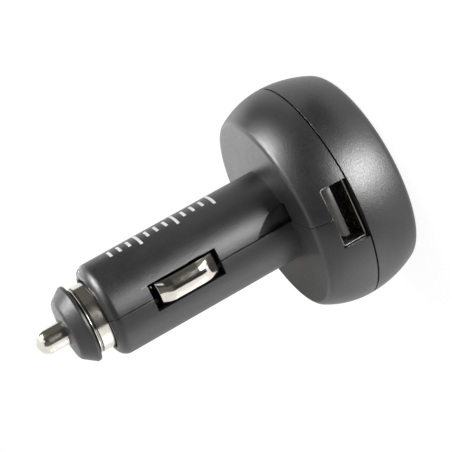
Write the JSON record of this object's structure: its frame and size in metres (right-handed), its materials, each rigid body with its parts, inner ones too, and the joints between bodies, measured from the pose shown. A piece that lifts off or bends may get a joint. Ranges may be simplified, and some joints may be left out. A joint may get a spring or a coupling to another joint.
{
  "type": "car voltmeter with usb",
  "caption": "Round-headed voltmeter plug for a vehicle power socket, with a charging port in the side of its head, sprung side contacts, a metal collar and a sprung centre pin.",
  "frame": {"origin": "centre of the cap's flat front face, on the plug's axis; the part stands on that face", "axes": "+Z along the plug's axis from the display face to the centre pin, +X out through the USB socket and the right side contact, the parting plane of the rear shells is the XZ plane"},
  "size_m": [0.0496, 0.0496, 0.0799],
  "materials": {
    "shell_plastic": "satin",
    "smoked_window": "gloss",
    "nickel": "polished",
    "board_green": "satin",
    "black_resin": "matte",
    "gold_contact": "polished",
    "can_sleeve": "gloss",
    "ferrite": "matte",
    "copper_wire": "satin",
    "spring_steel": "satin",
    "fuse_glass": "gloss"
  },
  "bodies": {
    "housing": {"upper_shell": "shell_plastic", "lower_shell": "shell_plastic", "front_cap": "shell_plastic", "display_lens": "smoked_window", "display_board": "board_green", "digit_block": "black_resin", "display_chip": "black_resin", "main_board": "board_green", "usb_shell": "nickel", "usb_tongue": "black_resin", "usb_pin_1": "gold_contact", "usb_pin_2": "gold_contact", "usb_pin_3": "gold_contact", "usb_pin_4": "gold_contact", "input_capacitor": "can_sleeve", "output_capacitor": "can_sleeve", "choke_core": "ferrite", "choke_winding": "copper_wire", "regulator_chip": "black_resin", "flyback_diode": "black_resin", "board_header": "black_resin", "spring_plate": "nickel", "fuse_spring": "spring_steel", "collar": "nickel"},
    "nose": {"nose_cap": "shell_plastic"},
    "pin_and_fuse": {"centre_pin": "nickel", "fuse_tube": "fuse_glass", "fuse_wire": "spring_steel", "fuse_cap_inner": "nickel", "fuse_cap_outer": "nickel"},
    "left_leaf": {"left_contact": "nickel"},
    "right_leaf": {"right_contact": "nickel"}
  },
  "joints": [
    {"name": "nose_cap_off", "type": "slide", "parent": "housing", "child": "nose", "axis": [0, 0, 1], "range_m": [0, 0.01]},
    {"name": "pin_press", "type": "slide", "parent": "nose", "child": "pin_and_fuse", "axis": [0, 0, -1], "range_m": [0, 0.0025], "stiffness_N_per_m": 400, "springref_m": -0.0025, "deforming": ["fuse_spring"]},
    {"name": "right_contact_press", "type": "hinge", "parent": "housing", "child": "right_leaf", "pos_m": [0.0079, 0, 0.0342], "axis": [0, -1, 0], "range_deg": [0, 4], "stiffness_Nm_per_rad": 0.12, "springref_deg": -2.86},
    {"name": "left_contact_press", "type": "hinge", "parent": "housing", "child": "left_leaf", "pos_m": [-0.0079, 0, 0.0342], "axis": [0, 1, 0], "range_deg": [0, 4], "stiffness_Nm_per_rad": 0.12, "springref_deg": -2.86}
  ]
}
